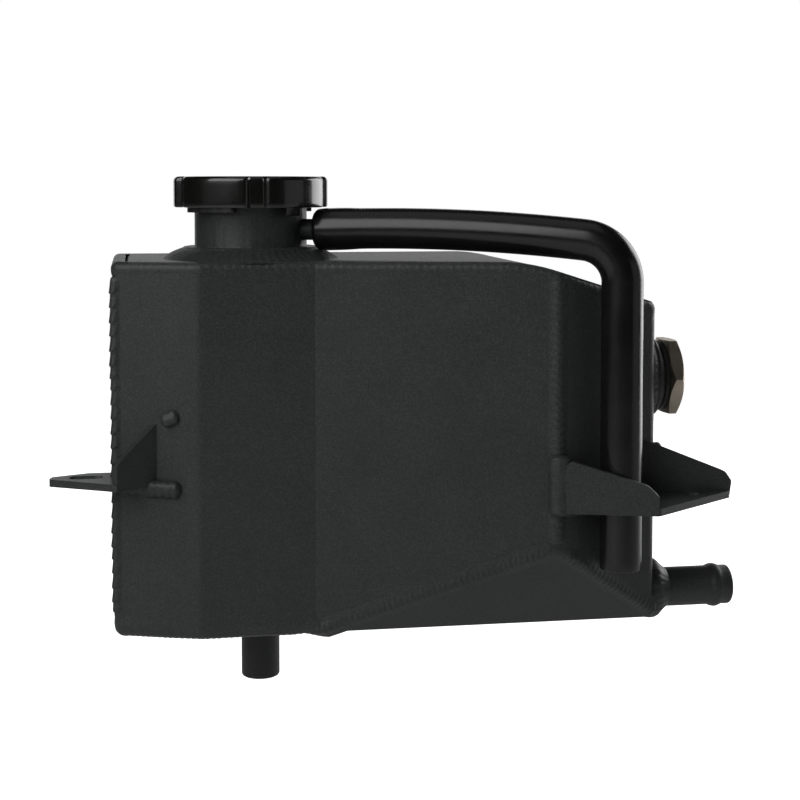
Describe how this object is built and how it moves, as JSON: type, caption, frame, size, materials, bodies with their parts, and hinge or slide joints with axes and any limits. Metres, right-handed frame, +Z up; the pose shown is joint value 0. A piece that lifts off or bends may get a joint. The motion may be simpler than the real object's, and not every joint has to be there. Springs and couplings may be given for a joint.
{
  "type": "hydraulic reservoir",
  "caption": "Fabricated sheet-metal fluid reservoir with folded front, sloping top, pressure cap on a filler neck, overflow hose, beaded hose tails, hex port plug and mounting brackets.",
  "frame": {"origin": "centre of the right bracket's bolt hole, at the underside of the bracket's plate", "axes": "+X along the tank to the outlet side, +Y to the back, +Z up along the filler neck"},
  "size_m": [0.2913, 0.1286, 0.2212],
  "materials": {
    "powder_coat": "fine-textured dark grey powder coat on welded aluminium sheet",
    "bare_aluminium": "mill finish",
    "hose_rubber": "smooth, semi-gloss moulded rubber",
    "seal_rubber": "matt",
    "gloss_cover": "high-gloss black",
    "plated_plug": "satin nickel plate",
    "spring_steel": "bright pressed steel",
    "black_steel": "pressed steel with a glossy black coating",
    "brass_valve": "turned"
  },
  "bodies": {
    "tank": {"front_panel": "powder_coat", "side_panel": "powder_coat", "back_panel": "powder_coat", "top_panel": "powder_coat", "bottom_panel": "powder_coat", "baffle_plate": "bare_aluminium", "top_seam_weld": "powder_coat", "corner_seam_welds": "powder_coat", "bottom_seam_weld": "powder_coat", "filler_neck": "powder_coat", "neck_weld": "powder_coat", "overflow_nipple": "powder_coat", "drain_tail": "powder_coat", "drain_weld": "powder_coat", "outlet_tail": "powder_coat", "outlet_weld": "powder_coat", "port_boss": "powder_coat", "boss_weld": "powder_coat", "left_bracket": "powder_coat", "right_bracket": "powder_coat", "bracket_welds": "powder_coat", "overflow_hose": "hose_rubber"},
    "plug_seal": {"plug_seal": "seal_rubber"},
    "plug": {"port_plug": "plated_plug"},
    "cap": {"cap_cover": "gloss_cover", "cap_retainer": "black_steel", "cap_gasket": "seal_rubber", "cap_disc": "spring_steel", "cap_stem": "spring_steel", "pressure_spring": "spring_steel"},
    "pressure_valve": {"valve_plate": "spring_steel", "pressure_seal": "seal_rubber", "vacuum_spring": "spring_steel"},
    "vacuum_valve": {"vacuum_valve": "brass_valve"}
  },
  "joints": [
    {"name": "cap_turn", "type": "hinge", "parent": "tank", "child": "cap", "pos_m": [-0.183, 0.0492, 0.1282], "axis": [0, 0, 1], "range_deg": [0, 90]},
    {"name": "pressure_valve_lift", "type": "slide", "parent": "cap", "child": "pressure_valve", "axis": [0, 0, 1], "range_m": [0, 0.003], "stiffness_N_per_m": 2000, "springref_m": -0.001, "deforming": ["pressure_spring"]},
    {"name": "vacuum_valve_drop", "type": "slide", "parent": "pressure_valve", "child": "vacuum_valve", "axis": [0, 0, -1], "range_m": [0, 0.0012], "stiffness_N_per_m": 200, "springref_m": -0.0005, "deforming": ["vacuum_spring"]},
    {"name": "plug_travel", "type": "slide", "parent": "tank", "child": "plug_seal", "axis": [1, 0, 0], "range_m": [0, 0.0127]},
    {"name": "plug_turn", "type": "hinge", "parent": "plug_seal", "child": "plug", "pos_m": [-0.013, 0.0312, 0.0499], "axis": [1, 0, 0], "range_deg": [0, 2160]}
  ],
  "couplings": [
    {"joint": "plug_turn", "follows": "plug_travel", "rad_per_m": 2968.4}
  ]
}
